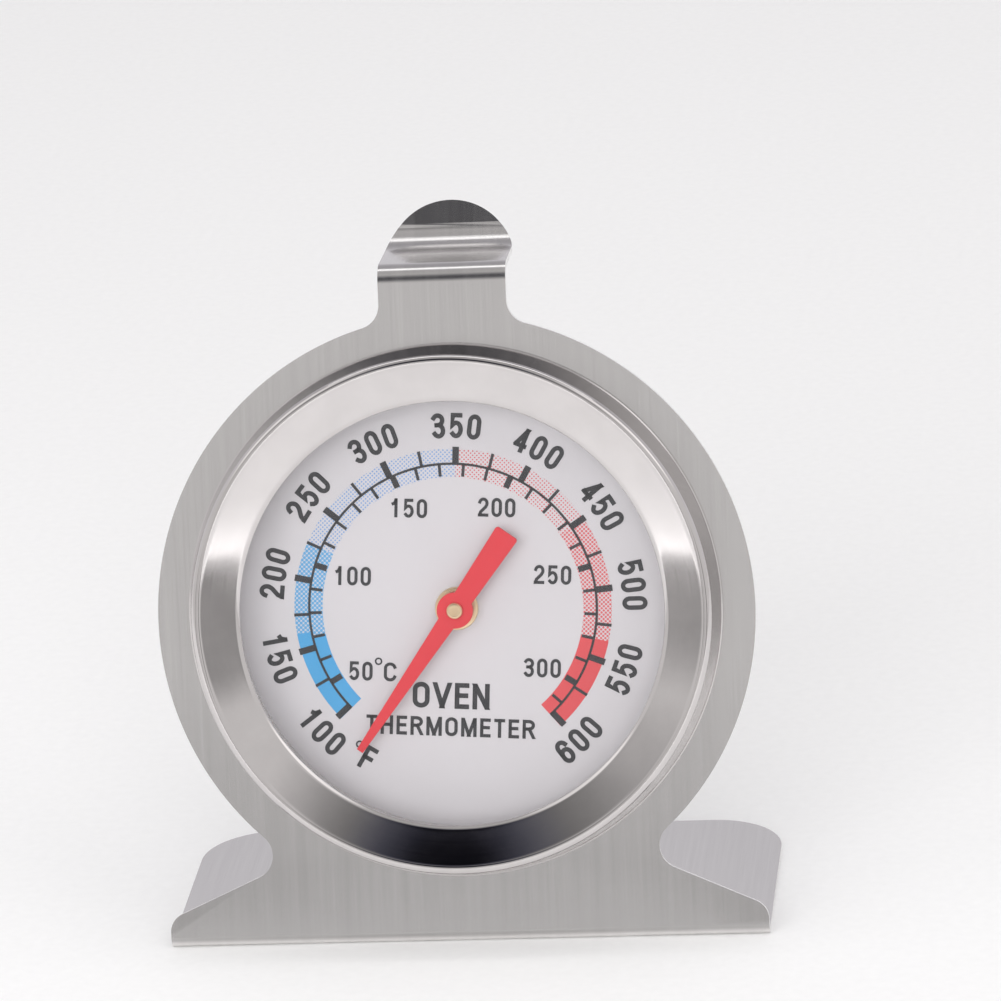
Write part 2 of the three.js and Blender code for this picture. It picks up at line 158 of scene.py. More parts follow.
def wire(tree, shader, color, roughness, normal, metallic=0):
    """Links a shader's colour, roughness and normal, and sets how metallic it is."""
    tree.links.new(color, shader.inputs["Base Color"])
    tree.links.new(roughness, shader.inputs["Roughness"])
    tree.links.new(normal, shader.inputs["Normal"])
    shader.inputs["Metallic"].default_value = metallic


def calculated(tree, operation, *values):
    """The outcome of a Math node."""
    return add(tree, "ShaderNodeMath", dict(enumerate(values)), operation=operation).outputs[0]


def object_place(tree, scale=(1, 1, 1), rotation=(0, 0, 0)):
    """The surface's place in its object's frame, in metres, turned and scaled."""
    place = add(tree, "ShaderNodeTexCoord").outputs["Object"]
    inputs = {"Vector": place, "Scale": scale, "Rotation": rotation}
    return add(tree, "ShaderNodeMapping", inputs).outputs["Vector"]


def noise(tree, vector, scale, detail=3, roughness=0.55):
    inputs = {"Vector": vector, "Scale": scale, "Detail": detail, "Roughness": roughness}
    return add(tree, "ShaderNodeTexNoise", inputs).outputs["Fac"]


def spread(tree, fac, low, high, from_low=0.25, from_high=0.75):
    """Maps a value from one range, which suits a noise unless given, to the range from low to high."""
    inputs = {"Value": fac, "From Min": from_low, "From Max": from_high, "To Min": low, "To Max": high}
    return add(tree, "ShaderNodeMapRange", inputs).outputs["Result"]


def blend_colors(tree, fac, first, second):
    """Mixes two colours; the second may be a socket."""
    if not isinstance(second, bpy.types.NodeSocket):
        second = (*second, 1)
    # A Mix node has sockets of its own for each kind of value, and these are the ones for colours.
    inputs = {"Factor": fac, 6: (*first, 1), 7: second}
    return add(tree, "ShaderNodeMix", inputs, data_type="RGBA").outputs[2]


def bump(tree, height, strength, depth):
    """A normal from a height field; depth is in millimetres."""
    inputs = {"Height": height, "Strength": strength, "Distance": depth * MM}
    return add(tree, "ShaderNodeBump", inputs).outputs["Normal"]


def tinted(color, factor):
    return tuple(min(1.0, part * factor) for part in color)


def varied(tree, fac, color, darkest, lightest):
    """A colour that varies between two shades of itself."""
    return blend_colors(tree, fac, tinted(color, darkest), tinted(color, lightest))


def brushed_sheet():
    """Steel brushed up the face, along the sheet's length, so reflections smear sideways."""
    material, tree, shader = blank_material("brushed_sheet")
    lines = noise(tree, object_place(tree, (9000, 90, 90)), 1, 4, 0.6)
    streaks = noise(tree, object_place(tree, (1300, 25, 25)), 1, 3)
    clouds = noise(tree, object_place(tree), 60, 2)
    brushing = spread(tree, calculated(tree, "ADD", lines, streaks), 0, 1, *SUM_RANGE)
    steel = varied(tree, brushing, (0.66, 0.645, 0.64), 0.955, 1.035)
    # Painted shade makes the face plate darker towards its fold, and painted light makes the foot brighter.
    # Heights are on the flat blank.
    blank_place = add(tree, "ShaderNodeUVMap", uv_map="blank").outputs["UV"]
    blank_y = add(tree, "ShaderNodeSeparateXYZ", {"Vector": blank_place}).outputs["Y"]
    height = calculated(tree, "MULTIPLY", blank_y, 1 / BLANK_MAP_SCALE)
    plate_painted_shade = spread(tree, height, 0.74, 1.0, -30, -5)
    foot_painted_light = spread(tree, height, 1.4, 1.0, -34, -32.5)
    # A painted highlight makes the outside of the fold bright.
    fold_highlight_front = spread(tree, height, 1.0, 0.0, -32.75, -32.45)
    fold_highlight_back = spread(tree, height, 0.0, 0.55, -33.6, -33.2)
    fold_painted_highlight = calculated(tree, "MULTIPLY_ADD", fold_highlight_front, fold_highlight_back, 1.0)
    # The brushed steel's colour with the painted shade, light and highlight laid on it.
    painted_light_and_shade = calculated(tree, "MULTIPLY", calculated(tree, "MULTIPLY", plate_painted_shade, foot_painted_light), fold_painted_highlight)
    wear_and_painted_light = add(tree, "ShaderNodeVectorMath", {0: steel, "Scale": painted_light_and_shade}, operation="SCALE").outputs["Vector"]
    roughness = spread(tree, calculated(tree, "ADD", streaks, clouds), 0.215, 0.255, *SUM_RANGE)
    wire(tree, shader, wear_and_painted_light, roughness, bump(tree, lines, 0.09, 0.01), metallic=1)
    shader.inputs["Anisotropic"].default_value = 0.6
    tangent = add(tree, "ShaderNodeTangent", direction_type="UV_MAP", uv_map="blank")
    tree.links.new(tangent.outputs["Tangent"], shader.inputs["Tangent"])
    return material


def turned_metal(name, color, roughness, line_strength):
    """Metal with fine marks round the object's z axis, from drawing, turning or polishing."""
    material, tree, shader = blank_material(name)
    place = add(tree, "ShaderNodeTexCoord").outputs["Object"]
    parts = add(tree, "ShaderNodeSeparateXYZ", {"Vector": place}).outputs
    squares = [calculated(tree, "MULTIPLY", parts[axis], parts[axis]) for axis in ("X", "Y")]
    radius = calculated(tree, "SQRT", calculated(tree, "ADD", *squares))
    ring_place = add(tree, "ShaderNodeCombineXYZ", {"X": radius, "Y": parts["Z"]}).outputs["Vector"]
    lines = noise(tree, ring_place, 5200, 3, 0.6)
    smears = noise(tree, place, 220, 4, 0.6)
    shades = varied(tree, spread(tree, smears, 0, 1), color, 0.94, 1.04)
    both = calculated(tree, "ADD", lines, smears)
    gloss = spread(tree, both, roughness * 0.7, roughness * 1.35, *SUM_RANGE)
    wire(tree, shader, shades, gloss, bump(tree, lines, line_strength, 0.01), metallic=1)
    return material


def rolled_metal(name, color, roughness):
    """Plain rolled or blanked metal with a cloudy, slightly marked surface."""
    material, tree, shader = blank_material(name)
    clouds = noise(tree, object_place(tree), 700, 5, 0.6)
    marks = noise(tree, object_place(tree, (1, 1, 8)), 1500, 3)
    shades = varied(tree, spread(tree, clouds, 0, 1), color, 0.86, 1.05)
    gloss = spread(tree, marks, roughness * 0.75, roughness * 1.3)
    wire(tree, shader, shades, gloss, bump(tree, marks, 0.15, 0.02), metallic=1)
    return material


def painted(name, color, roughness, speckle=0.05):
    """Paint or print with a faint grain in its colour, gloss and surface."""
    material, tree, shader = blank_material(name)
    grain = noise(tree, object_place(tree), PAINT_GRAIN, 3, 0.6)
    clouds = noise(tree, object_place(tree), 120, 3)
    fac = spread(tree, calculated(tree, "ADD", grain, clouds), 0, 1, *SUM_RANGE)
    shades = varied(tree, fac, color, 1 - speckle, 1 + speckle)
    gloss = spread(tree, grain, roughness * 0.85, roughness * 1.15)
    wire(tree, shader, shades, gloss, bump(tree, grain, 0.08, 0.01))
    return material


def halftone(name, ink, pitch, dot, roughness=0.42):
    """Print laid down on the dial's paint as a screen of round dots; dot is a share of the pitch."""
    material, tree, shader = blank_material(name)
    screen = object_place(tree, rotation=(0, 0, math.radians(45)))
    inputs = {"Vector": screen, "Scale": 1 / (pitch * MM), "Randomness": 0.0}
    cells = add(tree, "ShaderNodeTexVoronoi", inputs, voronoi_dimensions="2D").outputs["Distance"]
    soft_edge = 0.04
    dots = spread(tree, cells, 1, 0, dot - soft_edge, dot + soft_edge)
    grain = noise(tree, object_place(tree), PAINT_GRAIN, 3, 0.6)
    wear_and_painted_light = calculated(tree, "MULTIPLY", dots, spread(tree, grain, 0.85, 1.0))
    gloss = spread(tree, grain, roughness * 0.85, roughness * 1.15)
    wire(tree, shader, blend_colors(tree, wear_and_painted_light, DIAL_COLOR, ink), gloss, bump(tree, dots, 0.05, 0.01))
    return material


def clear_glass():
    """A clear pane: what is behind shows through, and its faces mirror a little, more at a slant."""
    material, tree, shader = blank_material("lens_glass")
    tree.nodes.remove(shader)
    smudge = noise(tree, object_place(tree), 160, 4)
    clear = add(tree, "ShaderNodeBsdfTransparent", {"Color": (0.985, 0.99, 0.99, 1)}).outputs[0]
    gloss = {"Color": (1, 1, 1, 1), "Roughness": spread(tree, smudge, 0.015, 0.045)}
    shine = add(tree, "ShaderNodeBsdfAnisotropic", gloss).outputs[0]
    # Light passes straight through, so the inner side of each face has to mirror like the outer side.
    inner_side = add(tree, "ShaderNodeNewGeometry").outputs["Backfacing"]
    index = spread(tree, inner_side, GLASS_INDEX, 1 / GLASS_INDEX, 0, 1)
    fresnel = add(tree, "ShaderNodeFresnel", {"IOR": index}).outputs[0]
    mix = add(tree, "ShaderNodeMixShader", {0: fresnel, 1: clear, 2: shine}).outputs[0]
    tree.links.new(mix, tree.nodes["Material Output"].inputs["Surface"])
    return material


BRUSHED = brushed_sheet()
# Steel for the stand's rounded edges, made lighter than the face as a painted highlight along them.
EDGE_HIGHLIGHT_STEEL = rolled_metal("sheet_edge_highlight", (0.9, 0.89, 0.885), 0.26)
POLISHED = turned_metal("polished_steel", (0.665, 0.638, 0.634), 0.085, 0.02)
BRIGHT_RING = rolled_metal("inner_steel_bright", (0.84, 0.83, 0.82), 0.55)
CASE_STEEL = turned_metal("case_steel", (0.62, 0.62, 0.62), 0.3, 0.1)
INNER_STEEL = rolled_metal("inner_steel", (0.55, 0.56, 0.56), 0.38)
BIMETAL = rolled_metal("bimetal", (0.5, 0.47, 0.42), 0.33)
BRASS = turned_metal("brass", (0.95, 0.72, 0.46), 0.34, 0.06)
GLASS = clear_glass()
DIAL_PAINT = painted("dial_paint", DIAL_COLOR, 0.42, 0.02)
NEEDLE_PAINT = painted("needle_paint", (0.57, 0.022, 0.034), 0.5, 0.06)
GASKET = painted("gasket", (0.1, 0.09, 0.085), 0.8, 0.2)
INK = painted("dial_ink", DARK_INK, 0.4, 0.1)
BLUE_SOLID = painted("blue_ink", BLUE_INK, 0.4, 0.04)
BLUE_DENSE = halftone("blue_dense_screen", BLUE_INK, 0.32, 0.47)
BLUE_PALE = halftone("blue_pale_screen", PALE_BLUE_INK, 0.3, 0.31)
RED_PALE = halftone("red_pale_screen", RED_INK, 0.3, 0.27)
RED_DENSE = halftone("red_dense_screen", RED_INK, 0.3, 0.4)
RED_SOLID = painted("red_ink", RED_INK, 0.4, 0.04)


# ---------------------------------------------------------------- mesh helpers

SMOOTH_ANGLE = math.radians(32)


def linked(name, data):
    """A new object in the scene with a mesh, a light or a camera as its data."""
    obj = bpy.data.objects.new(name, data)
    bpy.context.scene.collection.objects.link(obj)
    return obj


def link_piece(name, mesh, material, stands_for=(), body="case", place=FACE):
    """Links a finished mesh as a piece that rides on a body and may stand for CAD nodes."""
    obj = linked(name, mesh)
    mesh.materials.clear()
    mesh.materials.append(material)
    obj.matrix_world = place
    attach(obj, body)
    if stands_for:
        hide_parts(*stands_for)
    return obj


def smoothed(mesh):
    """The mesh shaded smooth, with its sharper edges left sharp."""
    mesh.shade_smooth()
    mesh.set_sharp_from_angle(angle=SMOOTH_ANGLE)
    return mesh


def mesh_from(bm):
    mesh = bpy.data.meshes.new("piece")
    bm.to_mesh(mesh)
    bm.free()
    return mesh


def evaluated(mesh, modifiers):
    """The mesh with modifiers, given as (type, settings), applied."""
    obj = linked("maker", mesh)
    for kind, settings in modifiers:
        modifier = obj.modifiers.new(kind.lower(), kind)
        for key, value in settings.items():
            setattr(modifier, key, value)
    graph = bpy.context.evaluated_depsgraph_get()
    made = bpy.data.meshes.new_from_object(obj.evaluated_get(graph))
    bpy.data.objects.remove(obj)
    return made


def arc(centre, radius, start, end, steps):
    """Points along an arc, as (x, y)."""
    turns = [start + (end - start) * i / steps for i in range(steps + 1)]
    return [(centre[0] + radius * math.cos(t), centre[1] + radius * math.sin(t)) for t in turns]


def full_circle(radius, steps):
    return arc((0, 0), radius, 0, 2 * math.pi, steps)[:-1]


def rounded(corners, steps):
    """A section from (radius, height, rounding) corners."""
    points = []
    for i, (x, y, rounding) in enumerate(corners):
        here = Vector((x, y))
        if rounding == 0:
            points.append((x, y))
            continue
        before = (Vector(corners[i - 1][:2]) - here).normalized()
        after = (Vector(corners[(i + 1) % len(corners)][:2]) - here).normalized()
        half = before.angle(after) / 2
        centre = here + (before + after).normalized() * rounding / math.sin(half)
        start = here + before * rounding / math.tan(half) - centre
        end = here + after * rounding / math.tan(half) - centre
        sweep = start.angle(end)
        for step in range(steps + 1):
            share = step / steps
            spoke = start * math.sin((1 - share) * sweep) + end * math.sin(share * sweep)
            points.append(tuple(centre + spoke / math.sin(sweep)))
    return points


def turned(section, steps=192):
    """A piece turned round the z axis from (radius, height) points, closed if it starts off the axis."""
    bm = bmesh.new()
    rings = []
    for radius, height in section:
        points = full_circle(radius * MM, steps) if radius else [(0, 0)]
        rings.append([bm.verts.new((x, y, height * MM)) for x, y in points])
    pairs = list(zip(rings, rings[1:]))
    if section[0][0] > 0:
        pairs.append((rings[-1], rings[0]))
    for low, high in pairs:
        for i in range(steps):
            j = (i + 1) % steps
            corners = [low[i % len(low)], low[j % len(low)], high[j % len(high)], high[i % len(high)]]
            bm.faces.new(list(dict.fromkeys(corners)))
    bmesh.ops.recalc_face_normals(bm, faces=bm.faces)
    return smoothed(mesh_from(bm))


def filled(loops):
    """A flat bmesh at z = 0 filled between an outer loop and its holes, all as (x, y) points."""
    bm = bmesh.new()
    for loop in loops:
        verts = [bm.verts.new((x * MM, y * MM, 0)) for x, y in loop]
        for first, second in zip(verts, verts[1:] + verts[:1]):
            bm.edges.new((first, second))
    bmesh.ops.triangle_fill(bm, use_beauty=True, use_dissolve=False, edges=bm.edges[:])
    for face in bm.faces:
        face.normal_update()
        if face.normal.z < 0:
            face.normal_flip()
    return bm


def thickened(bm, thickness, rounding=0, segments=2):
    """A flat bmesh made into a slab below its faces, with the edges of its outline rounded."""
    modifiers = [("SOLIDIFY", {"thickness": thickness * MM, "offset": -1})]
    if rounding:
        settings = {"width": rounding * MM, "segments": segments}
        modifiers.append(("BEVEL", {**settings, "limit_method": "ANGLE", "angle_limit": 1.0}))
    return evaluated(mesh_from(bm), modifiers)


def stamped(loops, low, high, rounding=0, segments=2):
    """A flat piece between two heights with its outline's edges rounded."""
    bm = filled(loops)
    bmesh.ops.translate(bm, verts=bm.verts, vec=(0, 0, high * MM))
    return smoothed(thickened(bm, high - low, rounding, segments))


def ring_sector(inner, outer, start, end, low, high, steps):
    """A thin slab of a ring between two angles."""
    loop = arc((0, 0), outer, start, end, steps) + arc((0, 0), inner, end, start, steps)
    return stamped([loop], low, high)


def joined(meshes):
    """One mesh from several."""
    bm = bmesh.new()
    for mesh in meshes:
        bm.from_mesh(mesh)
    return mesh_from(bm)


def moved(mesh, matrix):
    mesh.transform(matrix)
    return mesh


def shift(x, y):
    """A move across the face."""
    return Matrix.Translation((x * MM, y * MM, 0))


# ---------------------------------------------------------------- the stand

HOOK_TURN = math.pi / 2 - LEDGE_RISE
FOLD_TURN = math.pi / 2 + LEAN
FOLD_START = -AXIS_HEIGHT + (FOLD_INSIDE + SHEET) * math.tan(FOLD_TURN / 2)
HOOK_START = LEDGE_HEIGHT - (HOOK_FIRST_INSIDE + SHEET) * math.sin(HOOK_TURN)
FIRST_REACH = (HOOK_FIRST_INSIDE + SHEET) * (1 - math.cos(HOOK_TURN))
SECOND_REACH = HOOK_SECOND_INSIDE * (math.cos(TIP_LEAN) - math.cos(HOOK_TURN))
SECOND_RISE = HOOK_SECOND_INSIDE * (math.sin(HOOK_TURN) - math.sin(TIP_LEAN))
STRAIGHT_REACH = HOOK_DEPTH - FIRST_REACH - SECOND_REACH
STRAIGHT_RISE = HOOK_TOP - LEDGE_HEIGHT - SECOND_RISE
LEDGE_SHARE = STRAIGHT_REACH * math.cos(TIP_LEAN) - STRAIGHT_RISE * math.sin(TIP_LEAN)
TIP_SHARE = STRAIGHT_RISE * math.cos(LEDGE_RISE) - STRAIGHT_REACH * math.sin(LEDGE_RISE)
LEDGE_LENGTH = LEDGE_SHARE / math.cos(LEDGE_RISE + TIP_LEAN)
TIP_LENGTH = TIP_SHARE / math.cos(LEDGE_RISE + TIP_LEAN)
FOOT_LENGTH = FOOT_DEPTH - (FOLD_INSIDE + SHEET) * math.tan(FOLD_TURN / 2)

# Stretches of the sheet away from the face plate, as (length along its middle surface, turn).
HOOK_STRETCHES = [
    (HOOK_TURN * (HOOK_FIRST_INSIDE + SHEET / 2), HOOK_TURN),
    (LEDGE_LENGTH, 0.0),
    ((HOOK_TURN - TIP_LEAN) * (HOOK_SECOND_INSIDE + SHEET / 2), TIP_LEAN - HOOK_TURN),
    (TIP_LENGTH, 0.0),
]
FOOT_STRETCHES = [
    (FOLD_TURN * (FOLD_INSIDE + SHEET / 2), -FOLD_TURN),
    (FOOT_LENGTH, 0.0),
]
BLANK_TOP = HOOK_START + sum(length for length, _ in HOOK_STRETCHES)
BLANK_BOTTOM = FOLD_START - sum(length for length, _ in FOOT_STRETCHES)


def blank_outline():
    """The flat sheet's outline before bending: x to the right, y up from the dial's axis."""
    notch_reach = DISC_RADIUS + NOTCH_RADIUS
    line = Vector((FOOT_HALF, SHOULDER_HEIGHT + DISC_DROP))
    line += NOTCH_RADIUS * Vector((math.sin(SHOULDER_SLOPE), math.cos(SHOULDER_SLOPE)))
    way = Vector((-math.cos(SHOULDER_SLOPE), math.sin(SHOULDER_SLOPE)))
    middle = line.dot(way)
    notch = line + way * (-middle - math.sqrt(middle**2 - line.length_squared + notch_reach**2))
    notch_angle = math.atan2(notch.y, notch.x)
    fillet_x = TAB_HALF + FILLET_RADIUS
    fillet_y = math.sqrt((DISC_RADIUS + FILLET_RADIUS) ** 2 - fillet_x**2)
    fillet_angle = math.atan2(fillet_y, fillet_x)
    corner_y = SHOULDER_HEIGHT - CORNER_RADIUS * math.tan((math.pi / 2 - SHOULDER_SLOPE) / 2)
    rear = (FOOT_HALF - FOOT_REAR_RADIUS, BLANK_BOTTOM + FOOT_REAR_RADIUS)
    side = arc(rear, FOOT_REAR_RADIUS, -math.pi / 2, 0, 20)
    side += arc((FOOT_HALF - CORNER_RADIUS, corner_y), CORNER_RADIUS, 0, math.pi / 2 - SHOULDER_SLOPE, 14)
    side += arc(
        (notch.x, notch.y - DISC_DROP), NOTCH_RADIUS, -math.pi / 2 - SHOULDER_SLOPE, notch_angle - math.pi, 26
    )
    side += arc((0, -DISC_DROP), DISC_RADIUS, notch_angle, fillet_angle, 120)[1:]
    side += arc((fillet_x, fillet_y - DISC_DROP), FILLET_RADIUS, fillet_angle + math.pi, math.pi, 16)[1:]
    side += arc((0, BLANK_TOP - TAB_HALF), TAB_HALF, 0, math.pi / 2, 32)
    return side + [(-x, y) for x, y in reversed(side[:-1])]


def bend_levels():
    """Heights on the blank where the sheet gets a row of vertices, so that its bends are round."""
    levels = []
    place = HOOK_START
    for length, turn in HOOK_STRETCHES:
        steps = 14 if turn else 1
        levels += [place + length * i / steps for i in range(steps)]
        place += length
    place = FOLD_START
    for length, turn in FOOT_STRETCHES:
        steps = 12 if turn else 1
        levels += [place - length * i / steps for i in range(steps)]
        place -= length
    return levels


def along_sheet(height):
    """The sheet's middle surface at a height on the blank, as (out, up) in the face's frame, and its turn."""
    start = min(max(height, FOLD_START), HOOK_START)
    place, angle, left = Vector((-SHEET / 2, start)), 0.0, abs(height - start)
    way, stretches = (1, HOOK_STRETCHES) if height > 0 else (-1, FOOT_STRETCHES)
    for length, turn in stretches:
        if left <= 0:
            break
        part = min(left, length)
        if turn:
            radius = length / turn * way
            centre = place - radius * Vector((math.cos(angle), math.sin(angle)))
            angle += turn * part / length
            place = centre + radius * Vector((math.cos(angle), math.sin(angle)))
        else:
            place = place + way * part * Vector((-math.sin(angle), math.cos(angle)))
        left -= part
    return place, angle


def bent(co):
    """A point of the blank, in metres, moved to its place on the bent sheet in the face's frame."""
    place, angle = along_sheet(co.y / MM)
    normal = Vector((math.cos(angle), math.sin(angle)))
    out_up = place + (co.z / MM + SHEET / 2) * normal
    return Vector((co.x, out_up.y * MM, out_up.x * MM))


def build_stand():
    bm = filled([blank_outline(), full_circle(OPENING_RADIUS, 128)])
    for level in bend_levels():
        everything = bm.verts[:] + bm.edges[:] + bm.faces[:]
        bmesh.ops.bisect_plane(bm, geom=everything, plane_co=(0, level * MM, 0), plane_no=(0, 1, 0))
    mesh = thickened(bm, SHEET, EDGE_ROUNDING, 3)
    grain = mesh.uv_layers.new(name="blank")
    for loop in mesh.loops:
        co = mesh.vertices[loop.vertex_index].co
        grain.data[loop.index].uv = (co.x / MM * BLANK_MAP_SCALE, co.y / MM * BLANK_MAP_SCALE)
    mesh.shade_smooth()
    flat_edges, round_edges = set(), set()
    finishes = []
    for face in mesh.polygons:
        rounded_edge = abs(face.normal.z) < 0.999
        (round_edges if rounded_edge else flat_edges).update(face.edge_keys)
        finishes.append(int(rounded_edge))
    for edge in mesh.edges:
        edge.use_edge_sharp = edge.key in flat_edges and edge.key in round_edges
    for vertex in mesh.vertices:
        vertex.co = FACE @ bent(vertex.co)
    mesh.update()
    link_piece("steel_stand", mesh, BRUSHED, ["stand"], place=Matrix())
    # The rounded edges take the lighter steel, a painted highlight along the sheet's edges.
    mesh.materials.append(EDGE_HIGHLIGHT_STEEL)
    mesh.polygons.foreach_set("material_index", finishes)


# ---------------------------------------------------------------- the housing


def build_bezel():
    """A leaning wall with a rolled foot, a round crest, a slightly hollow funnel and a lip curled inwards."""
    wall = 0.45
    crest = (BEZEL_RADIUS - CREST_INSET, CREST_HEIGHT - CREST_ROUNDING)
    crest_start, crest_end = math.radians(5), math.radians(118)
    outer = arc(crest, CREST_ROUNDING, crest_start, crest_end, 30)
    under = arc(crest, CREST_ROUNDING - wall, crest_end, crest_start, 6)

    lip_radius, lip_start, lip_end = 1.0, math.radians(104.4), math.radians(135)
    lip_edge = Vector((WINDOW_RADIUS - LIP_OVERHANG, LIP_EDGE_HEIGHT))
    lip_centre = lip_edge - lip_radius * Vector((math.cos(lip_end), math.sin(lip_end)))
    lip = arc(lip_centre, lip_radius, lip_start, lip_end, 14)
    lip.append((lip_edge.x, LENS_TOP + 0.05))

    hollow, steps = 0.015, 14
    top, bottom = Vector(outer[-1]), Vector(lip[0])
    funnel = []
    for i in range(1, steps):
        place = top.lerp(bottom, i / steps)
        funnel.append((place.x, place.y - hollow * math.sin(math.pi * i / steps)))

    foot_height, foot_roll, foot_edge = 0.5, 0.1, 0.06
    foot = [
        (BEZEL_RADIUS, GAP + foot_edge),
        (BEZEL_RADIUS, GAP + foot_height - foot_roll),
        (BEZEL_RADIUS - 2 * foot_edge, GAP + foot_height),
    ]
    inner = [(BEZEL_RADIUS - wall, GAP), (BEZEL_RADIUS - foot_edge, GAP)]
    mesh = turned(foot + outer + funnel + lip + under + inner, 256)
    link_piece("polished_bezel", mesh, POLISHED, ["bezel_ring"])


def build_lens():
    edge = 0.2
    radius = BEZEL_RADIUS - 2.6
    section = [(0, LENS_BOTTOM), (radius - edge, LENS_BOTTOM), (radius, LENS_BOTTOM + edge)]
    section += [(radius, LENS_TOP - edge), (radius - edge, LENS_TOP), (0, LENS_TOP)]
    link_piece("clear_lens", turned(section), GLASS, ["glass_lens"])


def build_dial():
    bore, edge = 1.53, 0.08
    # A ring near each edge keeps the flat's shading flat.
    ring = 0.3
    corners = [
        (bore, DIAL_BACK, 0.0),
        (DIAL_RADIUS, DIAL_BACK, edge),
        (DIAL_RADIUS, DIAL_TOP, edge),
        (DIAL_RADIUS - ring, DIAL_TOP, 0.0),
        (bore + ring, DIAL_TOP, 0.0),
        (bore, DIAL_TOP, 0.05),
    ]
    link_piece("dial_disc", turned(rounded(corners, 3)), DIAL_PAINT, ["dial_plate"])


def build_spacer():
    inner, outer, bottom, top, edge = WINDOW_RADIUS + 0.5, DIAL_RADIUS, DIAL_TOP + GAP, 0.87, 0.1
    corners = [(inner, bottom, edge), (outer, bottom, edge), (outer, top, edge), (inner, top, edge)]
    link_piece("lens_spacer", turned(rounded(corners, 3)), BRIGHT_RING, ["spacer_ring"])


def turned_rod(x, y, radius, low, high):
    return moved(turned([(0, low), (radius, low), (radius, high), (0, high)], 32), shift(x, y))


def drilled(mesh, holes, low, high):
    """The mesh with round holes along z, given as (x, y, radius)."""
    rods = joined([turned_rod(x, y, radius, low, high) for x, y, radius in holes])
    cutter = linked("cutter", rods)
    settings = {"operation": "DIFFERENCE", "object": cutter, "solver": "EXACT"}
    made = evaluated(mesh, [("BOOLEAN", settings)])
    bpy.data.objects.remove(cutter)
    return smoothed(made)


def build_case():
    """A drawn cup with a flange, a step for the dial and a floor with vents."""
    floor_inside = CASE_BACK + CASE_WALL
    ledge = DIAL_BACK - GAP
    flange = BEZEL_RADIUS - 0.9
    # A ring near the floor's edge keeps the floor's shading flat.
    ring = 1.9
    corners = [
        (0, CASE_BACK, 0.0),
        (LOWER_CASE_RADIUS - ring, CASE_BACK, 0.0),
        (LOWER_CASE_RADIUS, CASE_BACK, 1.4),
        (LOWER_CASE_RADIUS, ledge - CASE_WALL, 0.25),
        (CASE_RADIUS, ledge - CASE_WALL, 0.5),
        (CASE_RADIUS, GAP, 0.1),
        (flange, GAP, 0.0),
        (flange, GAP + CASE_WALL, 0.1),
        (CASE_RADIUS - CASE_WALL, GAP + CASE_WALL, 0.3),
        (CASE_RADIUS - CASE_WALL, ledge, 0.1),
        (LOWER_CASE_RADIUS - CASE_WALL, ledge, 0.3),
        (LOWER_CASE_RADIUS - CASE_WALL, floor_inside, 1.0),
        (0, floor_inside, 0.0),
    ]
    vents, vent_circle, vent_radius = 8, 16.5, 1.6
    half_step = math.pi / vents
    vent_places = arc((0, 0), vent_circle, half_step, 2 * math.pi - half_step, vents - 1)
    holes = [(x, y, vent_radius) for x, y in vent_places]
    holes += [(side * RIVET_OFFSET, 0, RIVET_RADIUS + GAP) for side in (-1, 1)]
    mesh = drilled(turned(rounded(corners, 6)), holes, CASE_BACK - 1, floor_inside + 1)
    link_piece("drawn_case", mesh, CASE_STEEL, ["back_case"])


def build_clamp():
    """A push-on ring whose rim is bent back along the case."""
    front = -SHEET - GAP
    back = front - 0.5
    rim = back - 0.4
    inner, outer = CASE_RADIUS + GAP, CASE_RADIUS + 2.6
    corners = [
        (inner, front, 0.0),
        (outer, front, 0.12),
        (outer, back, 0.12),
        (inner + 0.7, back, 0.1),
        (inner + 0.4, rim, 0.08),
        (inner, rim, 0.0),
    ]
    link_piece("case_clamp", turned(rounded(corners, 3)), CASE_STEEL, ["clamp_ring"])


# ---------------------------------------------------------------- the movement

BRIDGE_FRONT = -6.5
STRIP_BACK = BRIDGE_FRONT + 0.6
STRIP_FRONT = DIAL_BACK - 1
STRIP_THICKNESS = 0.35
SPIRAL_START = 1.75
SPIRAL_END = 9.0
SPIRAL_TURNS = 5
COLLAR_TOP = DIAL_TOP + GAP + 0.5


def build_bridge_rivets():
    """Domed rivets whose heads show on the back of the case."""
    head, head_height, tail, tail_height = 1.6, 0.5, 1.44, 0.35
    low, high = CASE_BACK - GAP, BRIDGE_FRONT + GAP
    section = [(head * x, low + head_height * y) for x, y in arc((0, 0), 1, -math.pi / 2, 0, 10)]
    section += [(RIVET_RADIUS, low), (RIVET_RADIUS, high)]
    section += [(tail * x, high + tail_height * y) for x, y in arc((0, 0), 1, 0, math.pi / 2, 8)]
    # The domes start and end on the axis.
    section[0], section[-1] = (0, section[0][1]), (0, section[-1][1])
    for side, direction in (("left", -1), ("right", 1)):
        place = FACE @ shift(direction * RIVET_OFFSET, 0)
        node = f"bridge_rivet_{side}"
        link_piece(f"case_rivet_{side}", turned(section, 64), CASE_STEEL, [node], place=place)


def build_coil():
    """The flat spiral of bimetal strip, wound on edge."""
    steps_per_turn, end_steps = 96, 4
    outer, inner = [], []
    for i in range(SPIRAL_TURNS * steps_per_turn + end_steps + 1):
        turns = i / steps_per_turn
        radius = SPIRAL_START + (SPIRAL_END - SPIRAL_START) * min(turns, SPIRAL_TURNS) / SPIRAL_TURNS
        spoke = Vector((math.cos(2 * math.pi * turns), math.sin(2 * math.pi * turns)))
        outer.append(tuple(spoke * (radius + STRIP_THICKNESS / 2)))
        inner.append(tuple(spoke * (radius - STRIP_THICKNESS / 2)))
    mesh = stamped([outer + inner[::-1]], STRIP_BACK, STRIP_FRONT, 0.05)
    link_piece("spiral_strip", mesh, BIMETAL, ["bimetal_coil"])


